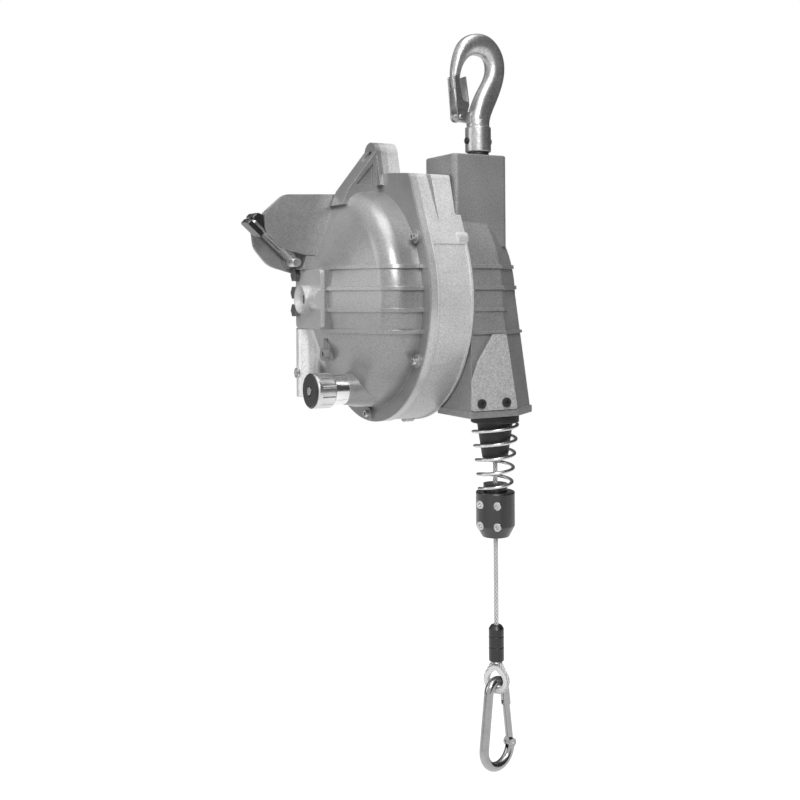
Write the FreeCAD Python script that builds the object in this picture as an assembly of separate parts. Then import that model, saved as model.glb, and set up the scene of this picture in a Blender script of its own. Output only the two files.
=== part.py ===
"""Heavy spring balancer: conical rope drum in a cast housing, swivel hook, rope with buffer and carabiner.

Every shape is drawn about the drum axis: X runs along it from the dome to the rope drum, Z is up, and -Y is
the front. On export each solid is moved so that the origin lies where the load hook bears on its beam.
"""
import FreeCAD, Part
import math
import os

V = FreeCAD.Vector

# Overall places, in millimetres from the drum axis
hook_x = 84.0
hook_y = -77.0
bearing_z = 260.0
nozzle_x = 88.0
ORIGIN = V(-hook_x, -hook_y, -bearing_z)

# Clearances
run_gap = 0.05
seat_gap = 0.3

# Cast body
rim_r = 134.0
flange_t = 9.0
band_w = 42.0
wall = 5.5
bowl_r = rim_r - 16.0
shoulder_x = -44.0
shoulder_r = 24.0
cone_x = -76.0
cone_r = 30.0
rib_z = (33.0, 11.0, -11.0, -33.0)
rib_t = 4.0
rib_h = 2.6
screw_pcr = rim_r - 8.5
screw_angles = (30.0, -30.0, -90.0, -150.0, 150.0)
screw_boss_r = 7.0
screw_boss_h = 3.0
bump_angles = (28.0, -90.0, -150.0, 150.0)
bump_r = 6.5
lip_w = 2.5
lip_h = 1.2
shoulder_front_y = 43.0 - rim_r
shoulder_back_y = -48.0
shoulder_front_z = rim_r - 5.0
shoulder_back_z = rim_r - 1.0
tangent_angle = 155.5

# Secondary suspension ear
ear_y = -12.0
ear_z = shoulder_back_z + 21.0
ear_r = 15.0
ear_bore_r = 5.5
ear_relief = 0.8
ear_left = -13.0
ear_right = 13.0

# Hub pad with the worm drive behind it
pad_x = -82.0
pad_t = 4.0
pad_w = 66.0
pad_h = 62.0
pad_corner_r = 5.0
hub_boss_r = 15.0
hub_boss_l = 10.0
grease_boss_r = 11.0
bolt_af = 13.0
bolt_head_h = 5.5
pad_bolt_y = 27.5
pad_bolt_z = (26.0, 7.0, -12.0)

# Worm drive
wheel_x = -68.5
wheel_w = 7.0
wheel_teeth = 30
gear_module = 1.5
worm_pitch_r = 5.6
worm_shaft_r = 4.0
thread_h = 2.8
worm_len = 26.0
column_x = -72.0
column_r = 11.0
column_top = -26.0
column_bottom = -106.0
column_bore_r = 7.0
web_t = 17.0
plug_z = -80.0

# Axle, arbor, springs and drum
axle_r = 10.0
arbor_r = 15.0
case_r = bowl_r - wall - 6.5
case_wall = 3.0
case_left = -33.0
case_right = 44.0
strip_t = 1.6
spring_turns = 8
spring_w = 29.0
bearing_r = 19.0
bearing_w = 10.0
drum_left = 46.0
drum_right = 98.0
drum_slope = 0.30
groove_pitch = 6.5
drum_wall = 7.0

# Right-hand casting
gap_w = 5.0
house_r = rim_r - 10.0
house_edge_x = 84.0
house_end_x = 118.0
house_end_r = house_r - 28.0
house_wall = 6.0
hub_out_r = 24.0
hub_out_l = 8.0
chute_bottom = 2.0 - house_r
chute_front = house_r + 6.0
chute_corner = (131.0, -104.0)
plate_t = 3.0
box_left = 43.5
box_right = 110.0
box_front = -94.0
box_back = -31.0
box_top = 152.0
box_wall = 4.0
box_top_t = 14.0
box_corner_r = 6.0

# Rope and what hangs on it
rope_r = 2.5
drum_groove_r = house_r - 26.5
nozzle_y = -drum_groove_r - rope_r
collar_r = 25.5
collar_h = 9.0
nozzle_top_r = 19.0
nozzle_low_r = 13.5
nozzle_h = 38.0
nozzle_bore_r = 4.0
wire_r = 1.9
buffer_top_r = 23.6
buffer_low_r = 16.8
buffer_turns = 4.5
bush_r = 12.7
bush_h = 8.0
stop_top = -203.5
stop_r = 20.7
stop_h = 48.0
stop_chamfer = 12.0
stop_low_r = 14.2
stop_split_yaw = -57.0
ferrule_top = -345.0
ferrule_h = 38.0
ferrule_r = 8.0
eye_yaw = -56.0
eye_z = -403.5
eye_rope_r = 12.3
thimble_in_r = 8.7
thimble_w = 7.0
snap_yaw = 13.0
snap_wire_r = 5.0
snap_top_r = 12.0
snap_rise = 2.45
snap_low_r = 19.5
snap_len = 100.0
gate_r = 3.9
gate_pin_r = 1.5
gate_upper = 32.0
gate_lower = 75.0

# Load hook
stem_r = 13.8
stem_top = 183.0
washer_t = 4.0
neck_r = 8.0
hook_shank_r = 8.0
hook_nut_af = 24.0
hook_nut_h = 14.0
thrust_h = 9.0
thrust_r = 12.4
nut_room_r = 14.3
cross_pin_r = 3.5
cross_pin_z = 168.0
latch_pin_r = 2.4
latch_w = 15.0
latch_wall = 1.2
latch_ear_t = 6.0
latch_eye_r = 4.3

# Lock knob, lever and guard cheeks
knob_y = -40.0
knob_z = -94.0
knob_end = -99.0
knob_r = 18.2
knob_len = 24.0
sleeve_r = 15.5
sleeve_len = 15.0
knob_travel = 7.0
boss_small_r = 16.0
boss_big_r = 19.0
boss_len = 14.0
lock_pin_r = 5.0
lock_tip_x = -31.5
cheek_t = 4.0
cheek_front_y = 5.0
cheek_rear_y = 34.0
lever_x = -90.5
lever_y = 20.0
lever_z = 39.5
lever_w = 17.0
lever_t = 3.0
lever_len = 66.0
lever_grip_start = 47.0
lever_angle = 137.8
lever_eye_r = 5.0
lever_pin_r = 3.0


def cyl(r, h, base, direction):
    return Part.makeCylinder(r, h, V(*base), V(*direction))


def cyl_x(x0, x1, r, y=0.0, z=0.0):
    return cyl(r, x1 - x0, (x0, y, z), (1, 0, 0))


def cyl_y(y0, y1, r, x=0.0, z=0.0):
    return cyl(r, y1 - y0, (x, y0, z), (0, 1, 0))


def cyl_z(z0, z1, r, x=0.0, y=0.0):
    return cyl(r, z1 - z0, (x, y, z0), (0, 0, 1))


def ring_x(x0, x1, r_out, r_in, y=0.0, z=0.0):
    return cyl_x(x0, x1, r_out, y, z).cut(cyl_x(x0 - 1, x1 + 1, r_in, y, z))


def ring_z(z0, z1, r_out, r_in, x=0.0, y=0.0):
    return cyl_z(z0, z1, r_out, x, y).cut(cyl_z(z0 - 1, z1 + 1, r_in, x, y))


def block(x0, x1, y0, y1, z0, z1):
    return Part.makeBox(x1 - x0, y1 - y0, z1 - z0, V(x0, y0, z0))


def rounded_edges(points, radii, closed=True):
    """Straight runs through the points, each corner with a radius becoming a tangent arc."""
    pts = [V(*p) for p in points]
    count = len(pts)
    ends = []
    for i, p in enumerate(pts):
        r = radii[i] if isinstance(radii, (list, tuple)) else radii
        if r <= 0 or (not closed and i in (0, count - 1)):
            ends.append((p, None, p))
            continue
        back = (pts[i - 1] - p).normalize()
        ahead = (pts[(i + 1) % count] - p).normalize()
        half = back.getAngle(ahead) / 2
        run = r / math.tan(half)
        bisector = (back + ahead).normalize()
        middle = p + bisector * (r / math.sin(half) - r)
        ends.append((p + back * run, middle, p + ahead * run))
    edges = []
    for i in range(count):
        first, middle, last = ends[i]
        if middle is not None:
            edges.append(Part.Arc(first, middle, last).toShape())
        if i == count - 1 and not closed:
            break
        start = ends[(i + 1) % count][0]
        if (start - last).Length > 1e-6:
            edges.append(Part.LineSegment(last, start).toShape())
    return edges


def outline(points, radii=0.0):
    return Part.Face(Part.Wire(rounded_edges(points, radii)))


def prism_x(points, x0, x1, radii=0.0):
    return outline([(x0, y, z) for y, z in points], radii).extrude(V(x1 - x0, 0, 0))


def prism_y(points, y0, y1, radii=0.0):
    return outline([(x, y0, z) for x, z in points], radii).extrude(V(0, y1 - y0, 0))


def prism_z(points, z0, z1, radii=0.0):
    return outline([(x, y, z0) for x, y in points], radii).extrude(V(0, 0, z1 - z0))


def revolve_x(points, radii=0.0):
    return outline([(x, 0, r) for x, r in points], radii).revolve(V(0, 0, 0), V(1, 0, 0), 360)


def revolve_z(points, x=0.0, y=0.0, radii=0.0):
    return outline([(x + r, y, z) for r, z in points], radii).revolve(V(x, y, 0), V(0, 0, 1), 360)


def hexagon(af, h, base, direction, turn=0.0):
    """Hexagonal prism across flats af, standing on base along direction."""
    r = af / math.sqrt(3)
    pts = []
    for i in range(6):
        a = math.radians(60 * i + turn)
        pts.append(V(r * math.cos(a), r * math.sin(a), 0))
    body = Part.Face(Part.makePolygon(pts + [pts[0]])).extrude(V(0, 0, h))
    body.Placement = FreeCAD.Placement(V(*base), FreeCAD.Rotation(V(0, 0, 1), V(*direction)))
    return body


def fuse(*shapes):
    first = shapes[0]
    if len(shapes) == 1:
        return first
    return first.fuse(list(shapes[1:])).removeSplitter()


def turned(shape, centre, axis, angle):
    copy = shape.copy()
    copy.rotate(V(*centre), V(*axis), angle)
    return copy


def tube(path_edges, r):
    """Round bar along straight runs and arcs that follow on from each other."""
    pieces = []
    for edge in path_edges:
        start = edge.valueAt(edge.FirstParameter)
        heading = edge.tangentAt(edge.FirstParameter)
        disc = Part.Face(Part.Wire(Part.Circle(start, heading, r).toShape()))
        if isinstance(edge.Curve, Part.Circle):
            angle = math.degrees(edge.Length / edge.Curve.Radius)
            pieces.append(disc.revolve(edge.Curve.Center, edge.Curve.Axis, angle))
        else:
            pieces.append(disc.extrude(heading * edge.Length))
    return fuse(*pieces)


def pair_of(*solids):
    return Part.makeCompound(list(solids))


def save(name, shape):
    moved = shape.copy()
    moved.translate(ORIGIN)
    if not moved.isValid():
        print("not valid:", name)
    print(name, "solids", len(moved.Solids), "volume", round(moved.Volume / 1000, 2))
    moved.exportStep("parts/" + name + ".step")


def polar(angle, r):
    """Place on a circle about the drum axis; 0 degrees is the front and 90 the top."""
    a = math.radians(angle)
    return -r * math.cos(a), r * math.sin(a)


def shoulder_profile(inset=0.0):
    """Square shoulder that leaves the round rim on a tangent and ends in a nearly flat top."""
    a = math.radians(tangent_angle)
    r = rim_r - inset
    touch = (r * math.cos(a), r * math.sin(a))
    return [
        (0, 0),
        touch,
        (shoulder_front_y + inset * 0.6, shoulder_front_z - inset),
        (shoulder_back_y, shoulder_back_z - inset),
        (0, shoulder_back_z - inset),
    ]


def bowl_outline(grow=0.0):
    """Half section of the dome, as x and radius, grown outwards for the ribs and inwards for the cavity."""
    return [
        (0, 0),
        (0, bowl_r + 1 + grow),
        (shoulder_x, bowl_r - 2 + grow),
        (cone_x - grow, cone_r),
        (cone_x - grow, 0),
    ]


def bowl_solid(grow=0.0):
    return revolve_x(bowl_outline(grow), [0, 0, shoulder_r + grow, 0, 0])


def screw_group(places, r_shank, length, head, x_head, side):
    """Socket or hex screws along X; side is the direction the head faces."""
    solids = []
    for y, z in places:
        shank = cyl_x(min(x_head, x_head - side * length), max(x_head, x_head - side * length), r_shank, y, z)
        if head[0] == "hex":
            top = hexagon(head[1], head[2], (x_head, y, z), (side, 0, 0), 30)
        else:
            far = x_head + side * head[2]
            top = cyl_x(min(x_head, far), max(x_head, far), head[1] / 2, y, z)
            deep = far - side * head[2] * 0.6
            top = top.cut(hexagon(head[1] * 0.5, head[2], (deep, y, z), (side, 0, 0)))
        solids.append(shank.fuse(top))
    return pair_of(*solids)


# Positions worked out from the sizes above
screw_places = [polar(a, screw_pcr) for a in screw_angles]
drum_screw_places = [polar(a, case_r - 8) for a in (45, 135, 225, 315)]
centre_distance = gear_module * wheel_teeth / 2 + worm_pitch_r
worm_y = centre_distance
pad_back = pad_x + pad_t

# Outlines of the two guard cheeks, as x and z with a corner radius: the rear one reaches lower
front_cheek = [(-40, 113.5, 0), (-107, 111.3, 16), (-129, 92, 14), (-127.5, 74, 16), (-112, 55, 26),
               (-84, 47.6, 0), (-40, 45, 0)]
rear_cheek = [(-40, 104, 0), (-112, 100, 16), (-133, 78, 14), (-130, 55, 16), (-114, 36, 26), (-84, 27.4, 0),
              (-40, 25, 0)]


def make_cover():
    flange = cyl_x(-flange_t, 0, rim_r)
    shoulder = prism_x(shoulder_profile(), -flange_t, 0, [0, 0, 8, 4, 0])
    body = fuse(bowl_solid(), flange, shoulder)

    # Two guard cheeks stand on the dome with the release lever between them, and a pedestal ties them together
    for cheek, y in ((front_cheek, cheek_front_y), (rear_cheek, cheek_rear_y)):
        body = body.fuse(prism_y([(x, z) for x, z, _ in cheek], y, y + cheek_t, [r for _, _, r in cheek]))
    pedestal = [(-86, pad_h / 2 + 0.6), (-80, 49), (-60, 49), (-60, pad_h / 2 - 1)]
    body = body.fuse(prism_y(pedestal, cheek_front_y + 1, cheek_rear_y + 1))
    lever_boss = cyl_y(cheek_rear_y - 4, cheek_rear_y + cheek_t, lever_pin_r + 3.5, lever_x, lever_z)
    body = body.fuse(lever_boss)

    # Hub block and worm column with its web
    hub = block(pad_back, -50, -pad_w / 2, pad_w / 2, -pad_h / 2, pad_h / 2)
    column = cyl_z(column_bottom, column_top + 12, column_r, column_x, worm_y)
    web_y = worm_y - web_t / 2
    web_points = [(column_x, column_bottom), (column_x, -20), (-58, -20), (-30, -90), (-30, column_bottom)]
    web = prism_y(web_points, web_y, web_y + web_t)
    body = body.fuse([hub, column, web])

    # Ear half and the wedge that carries it down to the dome
    ear = ear_half(ear_left, 0)
    wedge = prism_y([(-54, 100), (-47, 116), (ear_left, ear_z + 5), (-4, ear_z + 5), (-4, 100)],
                    ear_y - ear_r, ear_y + ear_r)
    recess = prism_y([(-37, 122), (-17, ear_z - 9), (-17, 122)], ear_y - ear_r - 1, ear_y - ear_r + 3)
    body = body.fuse([ear, wedge]).cut(recess)

    # Bosses for the rim screws, the lock knob and a small eye
    for y, z in screw_places:
        body = body.fuse(cyl_x(-flange_t - screw_boss_h, -1, screw_boss_r, y, z))
    boss = Part.makeCone(boss_small_r, boss_big_r, boss_len + 16, V(knob_end + knob_len + sleeve_len,
                                                                    knob_y, knob_z),
                         V(1, 0, 0))
    eye = cyl_x(-74, -69, 7.0, -18, -58)
    gusset = prism_y([(-71, -42), (-56, -64), (-71, -65)], -21, -15)
    body = body.fuse([boss, eye, gusset]).cut(cyl_x(-76, -66, 2.6, -18, -58))

    # Low ribs across the front of the dome
    grown = fuse(bowl_solid(rib_h), cyl_x(-flange_t - rib_h, 0, bowl_r + 6))
    for z in rib_z:
        slab = block(-flange_t - rib_h - 75, -flange_t, -bowl_r - 3, -pad_w / 2 + 3, z - rib_t / 2,
                     z + rib_t / 2)
        body = body.fuse(grown.common(slab))

    # Hollow for the springs, pocket for the worm wheel, bores
    cavity = bowl_solid(-wall)
    cavity.translate(V(-0.01, 0, 0))
    pocket = cyl_x(wheel_x - wheel_w / 2 - 1, -60, wheel_tip_r() + 1.5)
    plate_room = block(-100, pad_back, -pad_w / 2 - 0.5, pad_w / 2 + 0.5, -pad_h / 2 - 0.5, pad_h / 2 + 0.5)
    column_cut = block(-100, pad_back, 0, 45, -pad_h / 2 - 0.5, column_top + 16)
    axle_room = cyl_x(pad_back - 1, -60, axle_r + run_gap)
    rim_room = cyl_x(-3, 1, case_r + 6)
    worm_room = cyl_z(-worm_len / 2 - 4, worm_len / 2 + 4, column_bore_r + 0.4, wheel_x, worm_y)
    worm_bore = cyl_z(column_bottom - 1, 0, column_bore_r, wheel_x, worm_y)
    top_bore = cyl_z(0, worm_len / 2 + 10, worm_shaft_r + run_gap, wheel_x, worm_y)
    body = body.cut([plate_room, column_cut, axle_room, cavity, pocket, rim_room])
    body = body.cut([worm_room, worm_bore, top_bore])
    for y, z in screw_places:
        body = body.cut(cyl_x(-flange_t - screw_boss_h - 1, 1, 3.3, y, z))
    for z in pad_bolt_z:
        body = body.cut(cyl_x(pad_back - 1, pad_back + 1.5, 4.0, pad_bolt_y, z))
        body = body.cut(cyl_x(pad_x - bolt_head_h - 3, pad_back, bolt_af * 0.62, pad_bolt_y, z))
    body = body.cut(cyl_x(ear_left - 1, 1, ear_bore_r, ear_y, ear_z))
    body = body.cut(cyl_x(ear_left - 45, ear_left, ear_bore_r + ear_relief, ear_y, ear_z))
    body = body.cut(cyl_x(-100, -20, lock_pin_r + run_gap, knob_y, knob_z))
    body = body.cut(cyl_y(cheek_rear_y - 5, cheek_rear_y + cheek_t + 1, lever_pin_r, lever_x, lever_z))
    plug_bore = cyl_x(column_x - column_r - 1, wheel_x, 4.0, worm_y, plug_z)
    return body.cut(plug_bore).removeSplitter()


def ear_half(x0, x1):
    foot = [(ear_y - ear_r - 9, shoulder_back_z - 12), (ear_y - ear_r, ear_z), (ear_y + ear_r, ear_z),
            (ear_y + ear_r + 9, shoulder_back_z - 12)]
    plate = prism_x(foot, x0, x1)
    return plate.fuse(cyl_x(x0, x1, ear_r, ear_y, ear_z))


def make_housing_ring():
    ring = cyl_x(0, band_w, rim_r - lip_h)
    lips = cyl_x(0, lip_w, rim_r).fuse(cyl_x(band_w - lip_w, band_w, rim_r))
    shoulder = prism_x(shoulder_profile(), 0, band_w, [0, 0, 8, 4, 0])
    slot = prism_y([(11, shoulder_front_z + 12), (18, shoulder_front_z + 12), (14.5, 74)], -rim_r - 6, -58)
    slot = slot.cut(cyl_x(-1, band_w + 1, rim_r - 5))
    corner = prism_z([(26, -150), (band_w + 1, -150), (band_w + 1, -76)], 86, 150)
    corner = corner.cut(cyl_x(-1, band_w + 2, rim_r - 2))
    body = fuse(ring, lips, shoulder).cut(slot).cut(corner)
    body = body.fuse(ear_half(0, ear_right))
    for a in bump_angles:
        y, z = polar(a, rim_r - bump_r / 2)
        body = body.fuse(cyl_x(band_w - 10, band_w + 1.5, bump_r, y, z))
    body = body.cut(cyl_x(-1, band_w + 3, rim_r - wall - 1.5))
    for y, z in screw_places:
        lug = cyl_x(0, 18, 7.5, y, z)
        body = body.fuse(lug).cut(cyl_x(-1, 16, 2.6, y, z))
    body = body.cut(cyl_x(-1, ear_right + 1, ear_bore_r, ear_y, ear_z))
    return body.cut(cyl_x(-1, band_w + 3, case_r + 5)).removeSplitter()


def wheel_tip_r():
    return gear_module * (wheel_teeth / 2 + 1)


def make_worm_cover():
    plate = block(pad_x, pad_back, -pad_w / 2, pad_w / 2, -pad_h / 2, pad_h / 2)
    plate = plate.makeFillet(pad_corner_r, [e for e in plate.Edges if abs(e.tangentAt(0).x) > 0.9])
    tube_boss = cyl_x(pad_x - hub_boss_l, pad_x + 1, hub_boss_r)
    half_round = cyl_y(-pad_w / 2, 0, grease_boss_r, pad_x + 3)
    half_round = half_round.common(block(pad_x - 20, pad_back, -pad_w, 0, -30, 30))
    body = fuse(plate, half_round, tube_boss)
    bore = cyl_x(pad_x - hub_boss_l - 1, pad_back + 1, axle_r + run_gap)
    mouth = Part.makeCone(hub_boss_r - 1.5, axle_r, 5.5, V(pad_x - hub_boss_l, 0, 0), V(1, 0, 0))
    body = body.cut([bore, mouth])
    for z in pad_bolt_z:
        body = body.cut(cyl_x(pad_x - 1, pad_back + 1, 4.2, pad_bolt_y, z))
    return body


def make_drum_housing():
    left = band_w + gap_w
    shell = revolve_x([(left, 0), (left, house_r), (house_edge_x, house_r - 1.5), (house_end_x, house_end_r),
                       (house_end_x, 0)], [0, 0, 3, 4, 0])
    spigot = cyl_x(band_w, left + 1, rim_r - wall - 2)
    corner_x, corner_y = chute_corner
    upper = [(left, -house_r + 3), (house_edge_x - 1, -house_r + 3), (115, -100), (115, -40), (left, -40)]
    lower = [(left - 7, -chute_front), (96, -chute_front), (corner_x, corner_y), (corner_x, -66),
             (left - 7, -66)]
    chute = chute_loft(upper, lower, 2.0, chute_bottom)
    lip = prism_z(grow_outline(lower, 1.5), chute_bottom, chute_bottom + 7, [1, 3, 3, 1, 1])
    band_room = cyl_x(-1, band_w + 0.8, rim_r + 2)
    chute = chute.fuse(lip).cut(band_room)
    box = block(box_left, box_right, box_front, box_back, 55, box_top)
    box = box.makeFillet(box_corner_r, [e for e in box.Edges if abs(e.tangentAt(0).z) > 0.9])
    box = box.makeChamfer(1.2, [e for e in box.Edges if e.BoundBox.ZMin > box_top - 0.1])
    body = fuse(shell, spigot, chute, box, cyl_x(house_end_x - 1, house_end_x + hub_out_l, hub_out_r))

    # Ribs level with those on the dome, carried round the edge onto the slanted side
    grown = revolve_x([(left, 0), (left, house_r + 2), (house_edge_x + 1, house_r + 0.5),
                       (house_end_x, house_end_r + 2.5), (house_end_x, 0)])
    for z in rib_z[:3]:
        slab = block(left, house_end_x, -house_r - 3, -60, z - rib_t / 2, z + rib_t / 2)
        body = body.fuse(grown.common(slab))
    step = block(left, corner_x, -house_r - 4, -70, rib_z[3] - 4, rib_z[3] - 1)
    body = body.fuse(step.common(chute_loft(grow_outline(upper, 2.0), grow_outline(lower, 1.5), 4.0,
                                            chute_bottom)))

    # Rope drum space, chute space, box space and the hook and nozzle bores
    room = revolve_x([(band_w - 1, 0), (band_w - 1, house_r - house_wall), (house_edge_x - 3,
                                                                            house_r - house_wall - 2),
                      (house_end_x - 6, house_end_r - 6), (house_end_x - 6, 0)])
    inner_upper = grow_outline(upper, -house_wall)
    inner_lower = grow_outline(lower, -house_wall)
    chute_room = chute_loft(inner_upper, inner_lower, 2.0, chute_bottom + 6)
    box_room = block(box_left + box_wall, box_right - box_wall, box_front + box_wall, box_back - box_wall,
                     50, box_top - box_top_t)
    ceiling = box_top - box_top_t
    nut_room = cyl_z(ceiling - thrust_h - hook_nut_h - 4, ceiling, nut_room_r, hook_x, hook_y)
    body = body.cut([room, chute_room, box_room, nut_room])
    body = body.fuse(cyl_x(house_end_x - 14, house_end_x - 5, hub_out_r))
    body = body.cut(cyl_x(house_end_x - 15, house_end_x + hub_out_l - 3, axle_r + run_gap))
    body = body.cut(cyl_z(box_top - box_top_t - 1, box_top + 1, neck_r + run_gap, hook_x, hook_y))
    body = body.cut(cyl_z(chute_bottom - 1, chute_bottom + 8, nozzle_low_r, nozzle_x, nozzle_y))
    for x in guide_screw_x:
        body = body.cut(cyl_y(-chute_front - 5, -chute_front + 10, 2.5, x, guide_screw_z))
    return body.removeSplitter()


def chute_loft(upper, lower, z_top, z_low):
    top = Part.Wire(rounded_edges([(x, y, z_top) for x, y in upper], 0))
    low = Part.Wire(rounded_edges([(x, y, z_low) for x, y in lower], 0))
    return Part.makeLoft([low, top], True, True)


def grow_outline(points, amount):
    """Offset of a horizontal outline, outwards for a positive amount."""
    face = Part.Face(Part.Wire(rounded_edges([(x, y, 0) for x, y in points], 0)))
    wire = face.makeOffset2D(amount, 2).OuterWire
    ordered = [(v.X, v.Y) for v in wire.OrderedVertexes]
    nearest = min(range(len(ordered)), key=lambda i: math.dist(ordered[i], points[0]))
    ordered = ordered[nearest:] + ordered[:nearest]
    if math.dist(ordered[1], points[1]) > math.dist(ordered[-1], points[1]):
        ordered = [ordered[0]] + ordered[:0:-1]
    return ordered


guide_screw_x = (50.5, 80.5)
guide_screw_z = chute_bottom + 15.0
plate_outline = [(66, -37), (82, -37), (95, chute_bottom + 7.5), (40, chute_bottom + 7.5), (40, -84), (48,
                                                                                                       -64)]


def make_guide_plate():
    front = -chute_front
    plate = prism_y(plate_outline, front - plate_t, front, [2, 3, 2, 2, 6, 4])
    for x in guide_screw_x:
        plate = plate.cut(cyl_y(front - plate_t - 1, front + 1, 2.8, x, guide_screw_z))
    return plate


def make_guide_screws():
    solids = []
    for x in guide_screw_x:
        front = -chute_front - plate_t
        shank = cyl_y(front, front + 10, 2.4, x, guide_screw_z)
        head = cyl_y(front - 2.4, front, 4.8, x, guide_screw_z)
        socket = hexagon(4.0, 2.0, (x, front - 2.5, guide_screw_z), (0, 1, 0))
        solids.append(shank.fuse(head).cut(socket))
    return pair_of(*solids)


def make_axle():
    left_end = pad_x - hub_boss_l + 5.5
    body = cyl_x(left_end, house_end_x + hub_out_l - 3, axle_r)
    socket = hexagon(10.0, 6.0, (left_end - 0.1, 0, 0), (1, 0, 0))
    return body.cut(socket)


def make_arbor():
    return ring_x(wheel_x - wheel_w / 2, case_right - 6, arbor_r, axle_r + run_gap)


def make_worm_wheel():
    root_r = gear_module * (wheel_teeth / 2 - 1.2)
    body = ring_x(wheel_x - wheel_w / 2, wheel_x + wheel_w / 2, root_r, arbor_r)
    solids = []
    for i in range(wheel_teeth):
        a = 360.0 / wheel_teeth * (i + 0.5)
        tooth = prism_x([(root_r - 0.5, -1.1), (wheel_tip_r(), -0.45), (wheel_tip_r(), 0.45),
                         (root_r - 0.5, 1.1)],
                        wheel_x - wheel_w / 2, wheel_x + wheel_w / 2)
        solids.append(turned(tooth, (0, 0, 0), (1, 0, 0), a))
    return body.fuse(solids)


def make_worm_shaft():
    lead = math.pi * gear_module
    low = column_bottom + 3
    shaft = cyl_z(low, worm_len / 2 + 9, worm_shaft_r, wheel_x, worm_y)
    socket = hexagon(5.0, 8.0, (wheel_x, worm_y, low - 0.1), (0, 0, 1))
    shaft = shaft.cut(socket)
    turns = 4
    foot_r = worm_shaft_r - 0.4
    helix = Part.makeHelix(lead, lead * turns, foot_r)
    half_root = 1.02
    half_tip = 0.4
    pts = [V(foot_r, 0, -half_root), V(foot_r + thread_h, 0, -half_tip), V(foot_r + thread_h, 0, half_tip),
           V(foot_r, 0, half_root)]
    profile = Part.makePolygon(pts + [pts[0]])
    thread = Part.Wire(helix).makePipeShell([profile], True, True)
    thread.rotate(V(0, 0, 0), V(0, 0, 1), -90)
    thread.translate(V(wheel_x, worm_y, -lead * turns / 2))
    return shaft.fuse(thread)


def make_spring_case():
    hub_r = arbor_r + run_gap
    body = revolve_x([(case_left, hub_r), (case_left, case_r - 26), (case_left + 14, case_r),
                       (case_right, case_r), (case_right, case_r - 14), (case_right - case_wall, case_r - 14),
                       (case_right - case_wall, case_r - case_wall), (case_left + 15, case_r - case_wall),
                       (case_left + case_wall, case_r - 27), (case_left + case_wall, hub_r)])
    for y, z in drum_screw_places:
        body = body.cut(cyl_x(case_right - case_wall - 1, case_right + 1, 2.6, y, z))
    return body


def spiral_strip(x0, x1, r0, r1, turns):
    """Flat steel strip wound in a spiral made of half circles."""
    half_turns = turns * 2
    step = (r1 - r0) / half_turns

    def rail(offset):
        edges = []
        far = None
        for i in range(half_turns):
            side = 1 if i % 2 == 0 else -1
            near = V(x0, 0, side * (r0 + offset + i * step))
            far = V(x0, 0, -side * (r0 + offset + (i + 1) * step))
            bulge = V(x0, side * (near - far).Length / 2, (near.z + far.z) / 2)
            edges.append(Part.Arc(near, bulge, far).toShape())
        return edges, far

    outer, outer_end = rail(strip_t)
    inner, inner_end = rail(0.0)
    start_cap = Part.LineSegment(V(x0, 0, r0), V(x0, 0, r0 + strip_t)).toShape()
    end_cap = Part.LineSegment(outer_end, inner_end).toShape()
    wire = Part.Wire([start_cap] + outer + [end_cap] + inner[::-1])
    return Part.Face(wire).extrude(V(x1 - x0, 0, 0))


def drum_r(x):
    return drum_groove_r + (nozzle_x - x) * drum_slope


def make_rope_drum():
    left_r = drum_r(drum_left) + 7
    inner_left = drum_r(drum_left) - drum_wall
    inner_right = drum_r(drum_right) - drum_wall
    outer = [(drum_left - 2, 22), (drum_left - 2, left_r - 2), (drum_left + 2, left_r - 2),
             (drum_left + 2, drum_r(drum_left) + 2), (drum_right - 1, drum_r(drum_right) + 2),
             (drum_right - 1, drum_r(drum_right) + 4), (drum_right + 2, drum_r(drum_right) + 4),
             (drum_right + 2, inner_right), (drum_left + 4, inner_left), (drum_left + 4, 22)]
    shell = revolve_x(outer)
    hub = ring_x(drum_left - 2, drum_right + 2, bearing_r + 4, bearing_r - 3)
    seats = cyl_x(drum_left - 3, drum_left - 2 + bearing_w, bearing_r)
    seats = seats.fuse(cyl_x(drum_right + 2 - bearing_w, drum_right + 3, bearing_r))
    spokes = []
    for i in range(5):
        spoke = block(drum_right - 8, drum_right - 2, -6, 6, bearing_r + 2, inner_right + 3)
        spokes.append(turned(spoke, (0, 0, 0), (1, 0, 0), 72 * i))
    body = shell.fuse([hub] + spokes).cut(seats)
    for y, z in drum_screw_places:
        body = body.cut(cyl_x(drum_left - 3, drum_left + 5, 2.6, y, z))
    groove_count = int((drum_right - drum_left - 8) / groove_pitch)
    for i in range(groove_count + 1):
        x = nozzle_x - groove_pitch * (i - 1)
        if x < drum_left + 5 or x > drum_right - 4:
            continue
        body = body.cut(Part.makeTorus(drum_r(x) + rope_r, rope_r + 0.15, V(x, 0, 0), V(1, 0, 0)))
    return body


def make_rope_winding():
    """Turns of rope stored on the drum, on the large side of the point where the rope leaves."""
    solids = []
    x = nozzle_x - groove_pitch
    while x > drum_left + 5:
        solids.append(Part.makeTorus(drum_r(x) + rope_r + 0.1, rope_r, V(x, 0, 0), V(1, 0, 0)))
        x -= groove_pitch
    return pair_of(*solids)


def make_bearing(x0):
    outer = ring_x(x0, x0 + bearing_w, bearing_r, bearing_r - 3.2)
    inner = ring_x(x0, x0 + bearing_w, axle_r + 3.2, axle_r + run_gap)
    shield = ring_x(x0 + 1, x0 + bearing_w - 1, bearing_r - 3.2, axle_r + 3.2)
    return fuse(outer, inner, shield)


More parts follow.
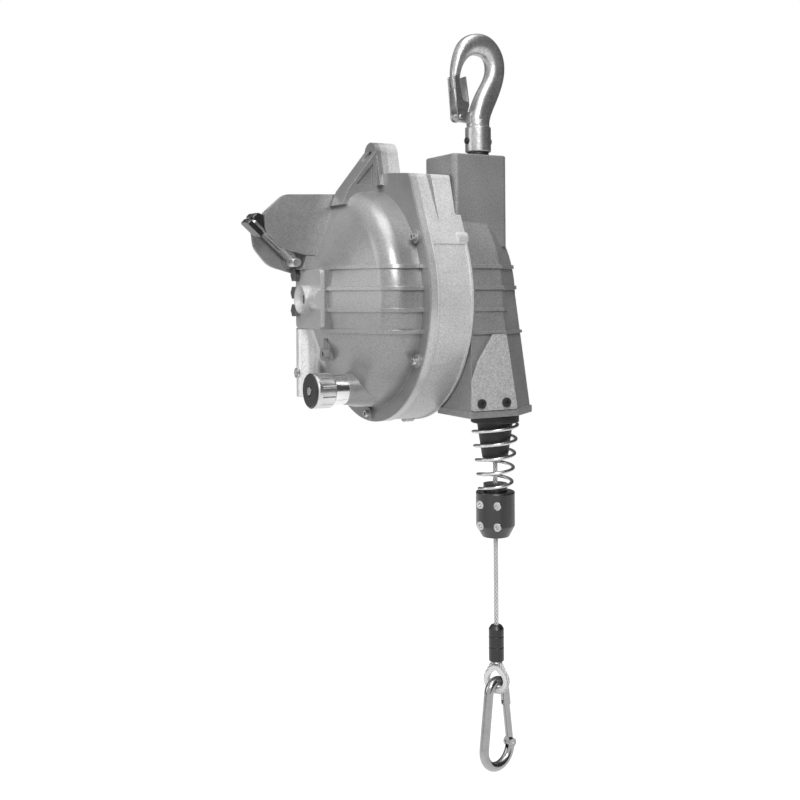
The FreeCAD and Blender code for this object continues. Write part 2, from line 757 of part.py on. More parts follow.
def make_nozzle_collar():
    z = chute_bottom
    body = revolve_z([(nozzle_low_r, z), (collar_r, z), (collar_r, z - collar_h), (nozzle_top_r,
                                                                                   z - collar_h),
                      (nozzle_top_r, z - 4), (nozzle_low_r, z - 4)], nozzle_x, nozzle_y, [0, 1.5, 1.5, 0,
                                                                                          0, 0])
    return body


def make_nozzle_cone():
    z = chute_bottom - 4
    low = chute_bottom - collar_h - nozzle_h
    body = revolve_z([(nozzle_bore_r, z + 9), (nozzle_low_r - run_gap, z + 9), (nozzle_low_r - run_gap, z),
                      (nozzle_top_r - run_gap, z), (nozzle_top_r - run_gap, chute_bottom - collar_h),
                      (nozzle_low_r, low), (nozzle_bore_r + 2, low), (nozzle_bore_r, low + 2)],
                     nozzle_x, nozzle_y, [0, 0, 0, 0, 0, 2, 0, 0])
    return body


def make_buffer_spring():
    top = chute_bottom - collar_h - wire_r - seat_gap
    low = stop_top + wire_r + seat_gap
    height = top - low
    angle = math.degrees(math.atan((buffer_top_r - buffer_low_r) / height))
    helix = Part.makeHelix(height / buffer_turns, height, buffer_low_r, angle)
    ring = Part.Wire(Part.Circle(V(buffer_low_r, 0, 0), V(0, 1, 0), wire_r).toShape())
    coil = Part.Wire(helix).makePipeShell([ring], True, True)
    coil.rotate(V(0, 0, 0), V(0, 0, 1), 150)
    coil.translate(V(nozzle_x, nozzle_y, low))
    return coil


def make_stopper(side):
    low = stop_top - stop_h
    body = revolve_z([(rope_r, low), (stop_low_r, low), (stop_r, low + stop_chamfer), (stop_r, stop_top),
                      (rope_r, stop_top)], nozzle_x, nozzle_y, [0, 1.5, 1.5, 2.0, 0])
    keep = block(nozzle_x + 0.3, nozzle_x + 60, nozzle_y - 60, nozzle_y + 60, low - 1, stop_top + 1)
    if side < 0:
        keep = turned(keep, (nozzle_x, nozzle_y, 0), (0, 0, 1), 180)
    yaw = stop_split_yaw + 90
    keep = turned(keep, (nozzle_x, nozzle_y, 0), (0, 0, 1), yaw)
    body = body.common(keep)
    for x, y, z in stopper_screw_places():
        hole = cyl(2.6, 60, (x, y, z), (math.cos(math.radians(yaw)), math.sin(math.radians(yaw)), 0))
        hole.translate(V(-30 * math.cos(math.radians(yaw)), -30 * math.sin(math.radians(yaw)), 0))
        seat = cyl(4.6, 20, (x, y, z), (-math.cos(math.radians(yaw)), -math.sin(math.radians(yaw)), 0))
        seat.translate(V(-13 * math.cos(math.radians(yaw)), -13 * math.sin(math.radians(yaw)), 0))
        body = body.cut([hole, seat])
    return body


def stopper_screw_places():
    yaw = math.radians(stop_split_yaw + 90)
    places = []
    for dz in (-13.0, -35.0):
        for across in (-9.5, 9.5):
            places.append((nozzle_x - across * math.sin(yaw), nozzle_y + across * math.cos(yaw),
                           stop_top + dz))
    return places


def make_stopper_screws():
    yaw = math.radians(stop_split_yaw + 90)
    out = (-math.cos(yaw), -math.sin(yaw), 0)
    solids = []
    for x, y, z in stopper_screw_places():
        start = (x - out[0] * 12, y - out[1] * 12, z)
        shank = cyl(2.5, 26, start, out)
        head_base = (x + out[0] * 13, y + out[1] * 13, z)
        head = cyl(4.4, 4.6, head_base, out)
        socket_base = (x + out[0] * 15.2, y + out[1] * 15.2, z)
        socket = hexagon(4.0, 4.0, socket_base, out)
        solids.append(shank.fuse(head).cut(socket))
    return pair_of(*solids)


def make_rope():
    top = 0.0
    low = ferrule_top - 6
    straight = Part.LineSegment(V(nozzle_x, nozzle_y, top), V(nozzle_x, nozzle_y, low)).toShape()
    body = tube([straight], rope_r)
    print("rope length", round(top - low, 1), "volume over section",
          round(body.Volume / (math.pi * rope_r ** 2), 1))
    return body


def eye_path(r, z_top):
    """Teardrop line in the XZ plane: down from the ferrule, round the bottom and back up."""
    half = 2.7
    drop = z_top - eye_z
    base = math.atan2(drop, half)
    reach = math.acos(r / math.hypot(drop, half))
    a = base - reach
    touch_right = V(r * math.cos(a), 0, eye_z + r * math.sin(a))
    touch_left = V(-touch_right.x, 0, touch_right.z)
    return [
        Part.LineSegment(V(-half, 0, z_top), touch_left).toShape(),
        Part.Arc(touch_left, V(0, 0, eye_z - r), touch_right).toShape(),
        Part.LineSegment(touch_right, V(half, 0, z_top)).toShape(),
    ]


def at_rope(shape, yaw):
    moved = shape.copy()
    moved.rotate(V(0, 0, 0), V(0, 0, 1), yaw)
    moved.translate(V(nozzle_x, nozzle_y, 0))
    return moved


def make_rope_eye():
    top = ferrule_top - ferrule_h
    loop = tube(eye_path(eye_rope_r, top), rope_r).cut(block(-20, 20, -20, 20, top, top + 10))
    return at_rope(loop, eye_yaw)


def teardrop(r, z_apex):
    drop = z_apex - eye_z
    a = math.acos(r / drop)
    right = V(r * math.sin(a), 0, eye_z + r * math.cos(a))
    left = V(-right.x, 0, right.z)
    apex = V(0, 0, z_apex)
    wire = Part.Wire([Part.LineSegment(apex, left).toShape(), Part.Arc(left, V(0, 0, eye_z - r),
                                                                       right).toShape(),
                      Part.LineSegment(right, apex).toShape()])
    return Part.Face(wire)


def make_thimble():
    top = ferrule_top - ferrule_h
    outer = teardrop(eye_rope_r + 0.9, top - 2).extrude(V(0, thimble_w, 0))
    inner = teardrop(thimble_in_r, top - 9).extrude(V(0, thimble_w + 2, 0))
    outer.translate(V(0, -thimble_w / 2, 0))
    inner.translate(V(0, -thimble_w / 2 - 1, 0))
    groove = tube(eye_path(eye_rope_r, top), rope_r + run_gap)
    apex_room = block(-5.6, 5.6, -thimble_w, thimble_w, top - 5, top + 5)
    return at_rope(outer.cut([inner, groove, apex_room]), eye_yaw)


def make_ferrule():
    low = ferrule_top - ferrule_h
    body = revolve_z([(rope_r, ferrule_top), (ferrule_r - 2.5, ferrule_top), (ferrule_r, ferrule_top - 4),
                      (ferrule_r, low), (0, low), (0, ferrule_top - 6), (rope_r, ferrule_top - 6)], 0, 0,
                     [0, 2, 2, 1, 0, 0, 0])
    for z in (ferrule_top - 11.5, ferrule_top - 23):
        body = body.cut(ring_z(z - 0.8, z + 0.8, ferrule_r + 1, ferrule_r - 0.7))
    return at_rope(body, 0)


snap_top = eye_z - thimble_in_r + snap_wire_r * 2 + snap_rise


def snap_lines():
    """Centre line of the carabiner and the place of its gate, in the XZ plane."""
    top_c = snap_top - snap_wire_r - snap_top_r
    low_c = snap_top - snap_len + snap_wire_r + snap_low_r
    span = top_c - low_c
    lean = math.asin((snap_low_r - snap_top_r) / span)
    top_right = V(snap_top_r * math.cos(lean), 0, top_c + snap_top_r * math.sin(lean))
    low_right = V(snap_low_r * math.cos(lean), 0, low_c + snap_low_r * math.sin(lean))
    return top_c, low_c, lean, top_right, low_right


def snap_side_point(depth):
    """Point on the right-hand straight of the carabiner at a depth below its top."""
    _, _, _, top_right, low_right = snap_lines()
    z = snap_top - depth
    share = (top_right.z - z) / (top_right.z - low_right.z)
    return top_right + (low_right - top_right) * share


def make_snap_body():
    top_c, low_c, _, top_right, low_right = snap_lines()
    top_left = V(-top_right.x, 0, top_right.z)
    low_left = V(-low_right.x, 0, low_right.z)
    nose = snap_side_point(gate_upper)
    heel = snap_side_point(gate_lower)
    path = [
        Part.LineSegment(nose, top_right).toShape(),
        Part.Arc(top_right, V(0, 0, top_c + snap_top_r), top_left).toShape(),
        Part.LineSegment(top_left, low_left).toShape(),
        Part.Arc(low_left, V(0, 0, low_c - snap_low_r), low_right).toShape(),
        Part.LineSegment(low_right, heel).toShape(),
    ]
    body = tube(path, snap_wire_r)
    pivot = snap_pivot()
    body = body.fuse(cyl_y(-snap_wire_r, snap_wire_r, 4.6, pivot.x, pivot.z))
    fork = block(pivot.x - 9, pivot.x + 9, -2.2, 2.2, pivot.z - 5.2, pivot.z + 12)
    body = body.cut(fork).cut(cyl_y(-8, 8, gate_pin_r + run_gap, pivot.x, pivot.z))
    tongue = block(nose.x - 9, nose.x + 9, -2.2, 2.2, nose.z - 6, nose.z + 5)
    return at_rope(body.cut(tongue), snap_yaw)


def snap_pivot():
    return snap_side_point(gate_lower - 1.0)


def make_snap_gate():
    pivot = snap_pivot()
    upper = snap_side_point(gate_upper + seat_gap)
    lower = snap_side_point(gate_lower - 7.5)
    rod = tube([Part.LineSegment(lower, upper).toShape()], gate_r)
    eye = cyl_y(-1.9, 1.9, 4.2, pivot.x, pivot.z)
    neck = outline([(pivot.x - 3.4, -1.9, pivot.z), (pivot.x + 3.4, -1.9, pivot.z),
                    (lower.x + 3.4, -1.9, lower.z + 1), (lower.x - 3.4, -1.9, lower.z + 1)]).extrude(V(0,
                                                                                                       3.8, 0))
    tip = snap_side_point(gate_upper - 3.5)
    hook_nose = outline([(upper.x - 2.6, -1.9, upper.z - 1), (upper.x + 2.6, -1.9, upper.z - 1),
                         (tip.x + 2.6, -1.9, tip.z), (tip.x - 2.6, -1.9, tip.z)]).extrude(V(0, 3.8, 0))
    body = rod.fuse([eye, neck, hook_nose]).cut(cyl_y(-8, 8, gate_pin_r, pivot.x, pivot.z))
    return at_rope(body, snap_yaw)


def make_gate_pin():
    pivot = snap_pivot()
    pin = cyl_y(-snap_wire_r, snap_wire_r, gate_pin_r, pivot.x, pivot.z)
    return at_rope(pin, snap_yaw)


hook_top = bearing_z + 23.0
# Forged section along the hook from the neck to the tip: x, depth below the top, thickness, width in Y
hook_sections = [
    (0.0, 99.0, 24.0, 24.0),
    (2.0, 86.0, 24.0, 21.0),
    (9.0, 70.0, 24.5, 19.0),
    (17.5, 53.0, 22.5, 18.0),
    (21.5, 37.0, 21.5, 18.0),
    (18.0, 21.5, 22.0, 18.0),
    (8.5, 13.0, 23.5, 19.0),
    (-3.5, 11.5, 23.0, 19.0),
    (-14.5, 16.0, 20.0, 17.0),
    (-22.5, 26.0, 15.0, 15.0),
    (-27.0, 38.0, 11.5, 13.0),
    (-28.5, 50.0, 9.5, 11.0),
    (-28.0, 60.0, 6.0, 7.0),
]
latch_pivot_x = -25.0
latch_pivot_drop = 91.0


def make_load_hook():
    wires = []
    count = len(hook_sections)
    for i, (x, drop, thick, wide) in enumerate(hook_sections):
        before = hook_sections[max(i - 1, 0)]
        after = hook_sections[min(i + 1, count - 1)]
        heading = V(after[0] - before[0], 0, before[1] - after[1]).normalize()
        across = V(heading.z, 0, -heading.x)
        centre = V(x, 0, hook_top - drop)
        rim = []
        for k in range(12):
            c = math.cos(math.radians(30 * k))
            d = math.sin(math.radians(30 * k))
            bulge = (abs(c) ** 2.4 + abs(d) ** 2.4) ** (-1 / 2.4)
            rim.append(centre + across * (thick / 2 * c * bulge) + V(0, wide / 2 * d * bulge, 0))
        curve = Part.BSplineCurve()
        curve.interpolate(rim, PeriodicFlag=True)
        wires.append(Part.Wire(curve.toShape()))
    body = Part.makeLoft(wires, True, False).cut(block(-30, 30, -30, 30, stem_top - 20, stem_top))
    shank = cyl_z(cross_pin_z - 6, hook_top - 97, hook_shank_r)
    ear = prism_y([(0, hook_top - 97), (0, hook_top - 82), (latch_pivot_x,
                                                            hook_top - latch_pivot_drop + latch_eye_r),
                   (latch_pivot_x, hook_top - latch_pivot_drop - latch_eye_r)], -latch_ear_t / 2,
                   latch_ear_t / 2)
    knuckle = cyl_y(-latch_ear_t / 2, latch_ear_t / 2, latch_eye_r, latch_pivot_x,
                    hook_top - latch_pivot_drop)
    collar = cyl_z(stem_top, hook_top - 93, 12.0)
    body = body.fuse([shank, ear, knuckle, collar])
    body = body.cut(cyl_y(-12, 12, latch_pin_r + run_gap, latch_pivot_x, hook_top - latch_pivot_drop))
    body = body.cut(cyl_x(-15, 15, cross_pin_r, 0, cross_pin_z))
    body.translate(V(hook_x, hook_y, 0))
    return body


def make_hook_stem():
    low = box_top + washer_t
    bottom = low - box_top_t - thrust_h - hook_nut_h - washer_t - 3
    section = [(0, bottom), (neck_r, bottom), (neck_r, low), (stem_r, low), (stem_r, stem_top), (0, stem_top)]
    body = revolve_z(section, 0, 0, [0, 1.5, 0, 1.5, 1.5, 0])
    body = body.cut(cyl_z(cross_pin_z - 6, stem_top + 1, hook_shank_r))
    body = body.cut(cyl_x(-20, 20, cross_pin_r, 0, cross_pin_z))
    body.translate(V(hook_x, hook_y, 0))
    return body


def make_cross_pin():
    body = cyl_x(-stem_r - 1.5, stem_r + 1.5, cross_pin_r, 0, cross_pin_z)
    body.translate(V(hook_x, hook_y, 0))
    return body


def make_hook_nut():
    top = box_top - box_top_t - thrust_h
    body = hexagon(hook_nut_af, hook_nut_h, (hook_x, hook_y, top - hook_nut_h), (0, 0, 1))
    return body.cut(cyl_z(top - hook_nut_h - 1, top + 1, neck_r, hook_x, hook_y))


def make_thrust_bearing():
    top = box_top - box_top_t
    race = 3.0
    waist = thrust_r - 2
    return revolve_z([(neck_r + run_gap, top - thrust_h), (thrust_r, top - thrust_h),
                      (thrust_r, top - thrust_h + race), (waist, top - thrust_h + race), (waist, top - race),
                      (thrust_r, top - race), (thrust_r, top), (neck_r + run_gap, top)], hook_x, hook_y)


def make_latch():
    """Folded sheet latch: two side strips that lap the hook tip, and a tongue bent up on the throat side."""
    px = latch_pivot_x
    pz = hook_top - latch_pivot_drop
    strip = [(px - 4.5, pz - 4.5), (px + 4.5, pz - 4.5), (px + 9.6, pz + 12), (px + 9.6, pz + 16),
             (px + 1.5, pz + 17),
             (px - 3.2, pz + 43.5), (px - 8.2, pz + 43.5), (px - 6.5, pz + 22)]
    full = prism_y(strip, -latch_w / 2, latch_w / 2, [4, 4, 2, 1, 3, 1.5, 1.5, 10])
    hollow = block(px - 40, px + 40, latch_wall - latch_w / 2, latch_w / 2 - latch_wall, pz - 20, pz + 60)
    tongue = prism_y([(px + 8.2, pz + 12), (px + 9.6, pz + 12), (px + 9.6, pz + 18), (px + 6.2, pz + 43),
                      (px + 4.8, pz + 43), (px + 8.2, pz + 18)], -latch_w / 2 + 0.5, latch_w / 2 - 0.5,
                     [0, 0, 6, 0.6, 0.6, 6])
    body = full.cut(hollow).fuse(tongue).cut(cyl_y(-20, 20, latch_pin_r, px, pz))
    body.translate(V(hook_x, hook_y, 0))
    return body


def make_latch_spring():
    """Small torsion spring on the latch pin, between the ear of the hook and one flange of the latch."""
    helix = Part.makeHelix(0.95, 1.9, latch_pin_r + 0.75)
    ring = Part.Wire(Part.Circle(V(latch_pin_r + 0.75, 0, 0), V(0, 1, 0), 0.42).toShape())
    coil = Part.Wire(helix).makePipeShell([ring], True, True)
    coil.rotate(V(0, 0, 0), V(1, 0, 0), -90)
    coil.translate(V(hook_x + latch_pivot_x, hook_y + latch_ear_t / 2 + 0.5, hook_top - latch_pivot_drop))
    return coil


def make_latch_pin():
    body = cyl_y(-latch_w / 2 - 1.2, latch_w / 2 + 1.2, latch_pin_r, latch_pivot_x,
                 hook_top - latch_pivot_drop)
    body.translate(V(hook_x, hook_y, 0))
    return body


def make_knob():
    start = knob_end + 3
    body = revolve_x([(start, 0), (start, knob_r - 1), (start + 1.5, knob_r), (knob_end + knob_len - 2,
                                                                               knob_r),
                      (knob_end + knob_len, knob_r - 2), (knob_end + knob_len, 0)])
    for i in range(12):
        flute = cyl_x(start + 5, knob_end + knob_len + 1, 2.0, knob_r + 1.0, 0)
        body = body.cut(turned(flute, (0, 0, 0), (1, 0, 0), 30 * i + 15))
    body = body.cut(cyl_x(start - 1, knob_end + knob_len + 1, 2.5))
    body = body.cut(cyl_x(knob_end + knob_len - knob_travel - 3, knob_end + knob_len + 1,
                          sleeve_r + seat_gap))
    body.translate(V(0, knob_y, knob_z))
    return body


def make_knob_cap():
    body = revolve_x([(knob_end, 0), (knob_end, knob_r - 1.5), (knob_end + 1.5, knob_r), (knob_end + 3,
                                                                                          knob_r - 1),
                      (knob_end + 3, 0)])
    body = body.cut(cyl_x(knob_end - 1, knob_end + 4, 2.5)).cut(cyl_x(knob_end - 1, knob_end + 1.2, 5.5))
    body.translate(V(0, knob_y, knob_z))
    return body


def make_lock_pin():
    """Lock bolt: knob screw end, guide in the boss and the nose that drops into the spring case."""
    shoulder = knob_end + knob_len - knob_travel - 3
    body = cyl_x(knob_end + 1.2, shoulder, 2.5).fuse(cyl_x(knob_end - 0.5, knob_end + 1.2, 4.2))
    body = body.fuse(cyl_x(shoulder, lock_tip_x, lock_pin_r))
    body.translate(V(0, knob_y, knob_z))
    return body


def make_lock_sleeve():
    start = knob_end + knob_len + seat_gap
    end = knob_end + knob_len + sleeve_len
    body = ring_x(start, end, sleeve_r, lock_pin_r + run_gap)
    body.translate(V(0, knob_y, knob_z))
    return body


def lever_place(shape):
    """Swing a lever piece, drawn along +X with its upper side towards -Z, up to its angle at the pivot."""
    moved = turned(shape, (0, 0, 0), (0, 1, 0), -lever_angle)
    moved.translate(V(lever_x, lever_y, lever_z))
    return moved


def make_lever():
    """Flat lever with a rolled eye, a slot, and edges turned up between the eye and the grips."""
    half = lever_t / 2
    wide = lever_w / 2
    plate = prism_z([(0, -wide), (lever_len, -wide), (lever_len, wide), (0, wide)], -half, half, [0, 4, 4, 0])
    slot = prism_z([(18, -2.5), (38, -2.5), (38, 2.5), (18, 2.5)], -half - 1, half + 1, 2.4)
    edge = [(0, 0), (2, -half - 2), (10, -half - 4), (40, -half - 4), (46, -half + 0.3), (46, 0)]
    edges = [prism_y(edge, y, y + 2, [0, 0, 5, 5, 0, 0]) for y in (-wide - 0.5, wide - 1.5)]
    body = plate.cut(slot).fuse(edges).fuse(cyl_y(-wide - 0.5, wide + 0.5, lever_eye_r))
    return lever_place(body.cut(cyl_y(-wide - 1, wide + 1, lever_pin_r + run_gap)).removeSplitter())


def make_lever_grip(side):
    """Moulded half of the grip: the upper one is higher and swells towards its end."""
    wide = lever_w / 2 + 1
    tip = lever_len + 4
    start = lever_grip_start
    half = lever_t / 2
    profile = [(start, -wide + 1.5), (start + 4, -wide), (tip - 2, -wide), (tip, -wide + 3), (tip, wide - 3),
               (tip - 2, wide), (start + 4, wide), (start, wide - 1.5)]
    corners = [2, 3, 3, 2, 2, 3, 3, 2]
    if side < 0:
        return lever_place(prism_z(profile, half, half + 5.5, corners))
    crown = [(start - 2, -half + 1), (start, -half - 2), (start + 5, -half - 9), (start + 11, -half - 11),
             (tip - 3, -half - 8), (tip + 1, -half - 3), (tip + 1, -half + 1)]
    body = prism_z(profile, -half - 12, -half, corners)
    return lever_place(body.common(prism_y(crown, -wide - 1, wide + 1, [0, 2, 6, 8, 4, 2, 0])))


def make_lever_pin():
    front = lever_y - lever_w / 2 - 0.5 - seat_gap
    shank = cyl_y(front - 1, cheek_rear_y + cheek_t, lever_pin_r, lever_x, lever_z)
    return shank.fuse(cyl_y(front - 1.6, front, lever_pin_r + 1.6, lever_x, lever_z))


def main():
    os.makedirs("parts", exist_ok=True)
    save("cover", make_cover())
    save("housing_ring", make_housing_ring())
    save("drum_housing", make_drum_housing())
    save("worm_cover", make_worm_cover())
    save("worm_cover_bolts", screw_group([(pad_bolt_y, z) for z in pad_bolt_z], 3.9, 5.4, ("hex", bolt_af,
                                                                                           bolt_head_h),
                                         pad_x, -1))
    save("cover_screws", screw_group(screw_places, 2.5, 22, ("socket", 7.5, 4.0),
                                     -flange_t - screw_boss_h, -1))
    save("column_plug", screw_group([(worm_y, plug_z)], 3.9, 5, ("socket", 11.0, 1.5),
                                    column_x - column_r, -1))
    save("guide_plate", make_guide_plate())
    save("guide_plate_screws", make_guide_screws())
    save("drum_axle", make_axle())
    save("spring_arbor", make_arbor())
    save("worm_wheel", make_worm_wheel())
    save("worm_shaft", make_worm_shaft())
    save("worm_bush", ring_z(column_bottom, column_bottom + 12, column_bore_r, worm_shaft_r + run_gap,
                             wheel_x, worm_y))
    save("spring_case", make_spring_case())
    spring_x = case_left + case_wall + 2
    for name in ("power_spring_left", "power_spring_right"):
        save(name, spiral_strip(spring_x, spring_x + spring_w, arbor_r, case_r - 32, spring_turns))
        spring_x += spring_w + 3
    save("rope_drum", make_rope_drum())
    save("rope_winding", make_rope_winding())
    save("drum_screws", screw_group(drum_screw_places, 2.5, 9, ("socket", 8.0, 4.5),
                                    case_right - case_wall, -1))
    save("drum_bearing_left", make_bearing(drum_left - 2))
    save("drum_bearing_right", make_bearing(drum_right + 2 - bearing_w))
    save("nozzle_collar", make_nozzle_collar())
    save("rope_nozzle", make_nozzle_cone())
    save("buffer_spring", make_buffer_spring())
    save("stopper_bush", ring_z(stop_top, stop_top + bush_h, bush_r, rope_r, nozzle_x, nozzle_y))
    save("stopper_front", make_stopper(-1))
    save("stopper_rear", make_stopper(1))
    save("stopper_screws", make_stopper_screws())
    save("rope", make_rope())
    save("rope_eye", make_rope_eye())
    save("ferrule", make_ferrule())
    save("thimble", make_thimble())
    save("carabiner", make_snap_body())
    save("carabiner_gate", make_snap_gate())
    save("gate_pin", make_gate_pin())
    save("load_hook", make_load_hook())
    save("hook_stem", make_hook_stem())
    save("hook_cross_pin", make_cross_pin())
    save("hook_nut", make_hook_nut())
    save("thrust_bearing", make_thrust_bearing())
    save("stem_washer", ring_z(box_top, box_top + washer_t, stem_r - 2.5, neck_r, hook_x, hook_y))
    save("hook_latch", make_latch())
    save("latch_spring", make_latch_spring())
    save("latch_pin", make_latch_pin())
    save("lock_knob", make_knob())
    save("knob_cap", make_knob_cap())
    save("lock_pin", make_lock_pin())
    save("lock_sleeve", make_lock_sleeve())
    save("release_lever", make_lever())
    save("lever_grip_upper", make_lever_grip(1))
    save("lever_grip_lower", make_lever_grip(-1))
    save("lever_pin", make_lever_pin())


main()
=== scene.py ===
"""Studio picture of the spring balancer.

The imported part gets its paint, plating and plastic, and its wire rope is laid in strands.
"""
import bpy
import math
from mathutils import Matrix, Vector


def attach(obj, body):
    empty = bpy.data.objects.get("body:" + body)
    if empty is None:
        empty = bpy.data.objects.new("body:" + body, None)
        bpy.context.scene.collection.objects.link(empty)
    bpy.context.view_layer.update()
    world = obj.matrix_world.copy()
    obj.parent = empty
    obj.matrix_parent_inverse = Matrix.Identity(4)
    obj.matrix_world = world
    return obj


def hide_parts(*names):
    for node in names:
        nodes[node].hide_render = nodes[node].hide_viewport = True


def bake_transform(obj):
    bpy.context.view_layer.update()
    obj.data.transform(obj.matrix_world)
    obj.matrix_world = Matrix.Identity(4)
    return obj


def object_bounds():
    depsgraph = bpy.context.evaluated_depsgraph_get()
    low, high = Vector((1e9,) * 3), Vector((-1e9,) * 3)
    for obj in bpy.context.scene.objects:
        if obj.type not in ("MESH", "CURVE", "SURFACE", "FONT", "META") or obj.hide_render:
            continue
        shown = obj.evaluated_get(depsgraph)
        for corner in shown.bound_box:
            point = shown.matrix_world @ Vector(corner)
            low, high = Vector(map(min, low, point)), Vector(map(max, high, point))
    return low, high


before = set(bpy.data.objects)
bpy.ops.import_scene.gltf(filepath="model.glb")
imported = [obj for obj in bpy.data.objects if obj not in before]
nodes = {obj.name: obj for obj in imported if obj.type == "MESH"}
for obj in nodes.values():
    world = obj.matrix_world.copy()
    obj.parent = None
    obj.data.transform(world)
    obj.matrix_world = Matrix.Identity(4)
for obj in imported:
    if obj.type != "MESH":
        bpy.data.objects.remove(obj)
cad_low, cad_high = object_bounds()

# The part's own places, in metres: the drum axis, and the line of the rope with its route's heights
DRUM = Vector((-0.084, 0.077, -0.260))
ROPE = Vector((0.004, -0.023, 0.0))
ROPE_HEIGHTS = (-0.260, -0.315, -0.372, -0.430, -0.480, -0.530, -0.575, -0.611)
ROPE_D = 0.005
ROPE_STEP = 0.0015
ROUTE_RESOLUTION = 24

# Strands of the rope. The core and the valleys' bottom lie inside the ring of strand centres by these
# shares of a strand's radius
STRANDS = 6
LAY = 0.026
TUBE_SIDES = 8
CORE_INSIDE = 0.3
VALLEY_INSIDE = 0.2

# Rope eye round the thimble: two straight legs that meet an arc
EYE_CENTRE_Z = -0.6635
EYE_R = 0.0123
EYE_TOP_Z = -0.643
EYE_HALF = 0.0027
EYE_YAW = math.radians(-56.0)
EYE_ARC_STEPS = 40
EYE_STEP = 0.0008

# Textures, with lengths in metres. Noise mostly lies between these two values
NOISE_LOW = 0.3
NOISE_HIGH = 0.7
NOISE_ROUGHNESS = 0.6
FINE_DETAIL = 3.0
MARK_DETAIL = 4.0
SLOW_DETAIL = 5.0

# Edges lightened as wear and painted highlight, where the rounded normal leaves the face's own, by the
# cosine between them
EDGE_SAMPLES = 4
EDGE_OPEN = 0.995
EDGE_SHARP = 0.80

# Painted, moulded and cast surfaces
SLOW_SCALE = 22.0
ROUGH_SWING = 0.06
COAT_ROUGHNESS = 0.25
SURFACE_EDGE_R = 0.0009
GRAIN_HEIGHT = 0.0005

# Brushed and drawn metal
MARK_SCALE = 90.0
STAIN_SCALE = 60.0
STAIN_DARK = 0.86
STAIN_BRIGHT = 1.10
BRUSHED_EDGE = 0.15
BRUSHED_EDGE_R = 0.0006
MARK_SMOOTHER = 0.07
MARK_ROUGHER = 0.09
MARK_HEIGHT = 0.0003
PLATED_STRETCH = (1.0, 1.0, 60.0)
DRAWN_STRETCH = (1.0, 1.0, 20.0)
TURNED_STRETCH = (40.0, 1.0, 1.0)
NO_STRETCH = (1.0, 1.0, 1.0)

# Painted highlights on the cover: on the worm column beyond this corner, and on the edge of the flange
COLUMN_CORNER = (-0.145, 0.080, -0.2925)
COLUMN_SOFT = 0.002
COLUMN_TOP_SOFT = 0.001
COLUMN_HIGHLIGHT_LIFT = 2.5
FLANGE_X = -0.0915
FLANGE_SOFT = 0.0006
FLANGE_HIGHLIGHT_LIFT = 1.8

# Painted shade: dark lines between the strands, by the height over the valleys' bottom
VALLEY_START = 0.80
VALLEY_FULL = 0.35
VALLEY_SHADE_TONE = 0.04

# Studio, with the floor below the load's full travel. The view's directions are level
FLOOR_DROP = 2.0
FLOOR_SIZE = 30.0
FLOOR_TONE = 0.88
FLOOR_ROUGHNESS = 0.9
FLOOR_SPECULAR = 0.1
FLOOR_GLOW = 0.80
VIEW_AZIMUTH = math.radians(-28.2)
VIEW_RIGHT = Vector((math.cos(VIEW_AZIMUTH), math.sin(VIEW_AZIMUTH), 0.0))
VIEW_AHEAD = Vector((-math.sin(VIEW_AZIMUTH), math.cos(VIEW_AZIMUTH), 0.0))

# Light of the surroundings, and where mirrored rays find them dark, by the cosine to a direction
SKY_LIGHT = 0.32
DARK_SIDE = 0.06
RIGHT_START = 0.30
RIGHT_FULL = 0.56
LEFT_START = -0.74
LEFT_FULL = -0.88
REAR_START = 0.30
REAR_FULL = 0.70
STRIP_DEPTH = 0.9


def new_material(name):
    mat = bpy.data.materials.new(name)
    mat.use_nodes = True
    tree = mat.node_tree
    shader = tree.nodes["Principled BSDF"]
    where = tree.nodes.new("ShaderNodeTexCoord")
    return mat, tree, shader, where.outputs["Object"]


def grey(tone):
    return (tone, tone, tone)


def feed(tree, value, socket):
    """Joins another node's output to the socket, or sets the socket to a plain value."""
    if isinstance(value, bpy.types.NodeSocket):
        tree.links.new(value, socket)
    else:
        socket.default_value = value


def noise(tree, where, scale, detail):
    node = tree.nodes.new("ShaderNodeTexNoise")
    node.inputs["Scale"].default_value = scale
    node.inputs["Detail"].default_value = detail
    node.inputs["Roughness"].default_value = NOISE_ROUGHNESS
    tree.links.new(where, node.inputs["Vector"])
    return node.outputs["Fac"]


def spread(tree, value, low, high, to_low, to_high):
    node = tree.nodes.new("ShaderNodeMapRange")
    node.inputs["From Min"].default_value = low
    node.inputs["From Max"].default_value = high
    node.inputs["To Min"].default_value = to_low
    node.inputs["To Max"].default_value = to_high
    tree.links.new(value, node.inputs["Value"])
    return node.outputs["Result"]


def vary(tree, value, to_low, to_high):
    """A noise value spread between two amounts."""
    return spread(tree, value, NOISE_LOW, NOISE_HIGH, to_low, to_high)


def past(tree, value, place, soft):
    """From 0 to 1 as the value passes the place upwards, or downwards where soft is negative."""
    return spread(tree, value, place - soft, place + soft, 0.0, 1.0)


def arithmetic(tree, kind, a, b):
    node = tree.nodes.new("ShaderNodeMath")
    node.operation = kind
    feed(tree, a, node.inputs[0])
    feed(tree, b, node.inputs[1])
    return node.outputs[0]


def cosine(tree, a, b):
    """Dot product of two directions, each a plain vector or another node's output."""
    node = tree.nodes.new("ShaderNodeVectorMath")
    node.operation = "DOT_PRODUCT"
    feed(tree, a, node.inputs[0])
    feed(tree, b, node.inputs[1])
    return node.outputs["Value"]


def scaled(tree, color, amount):
    """A colour, plain or from another node, multiplied by a varying amount."""
    node = tree.nodes.new("ShaderNodeVectorMath")
    node.operation = "SCALE"
    feed(tree, color, node.inputs[0])
    feed(tree, amount, node.inputs["Scale"])
    return node.outputs["Vector"]


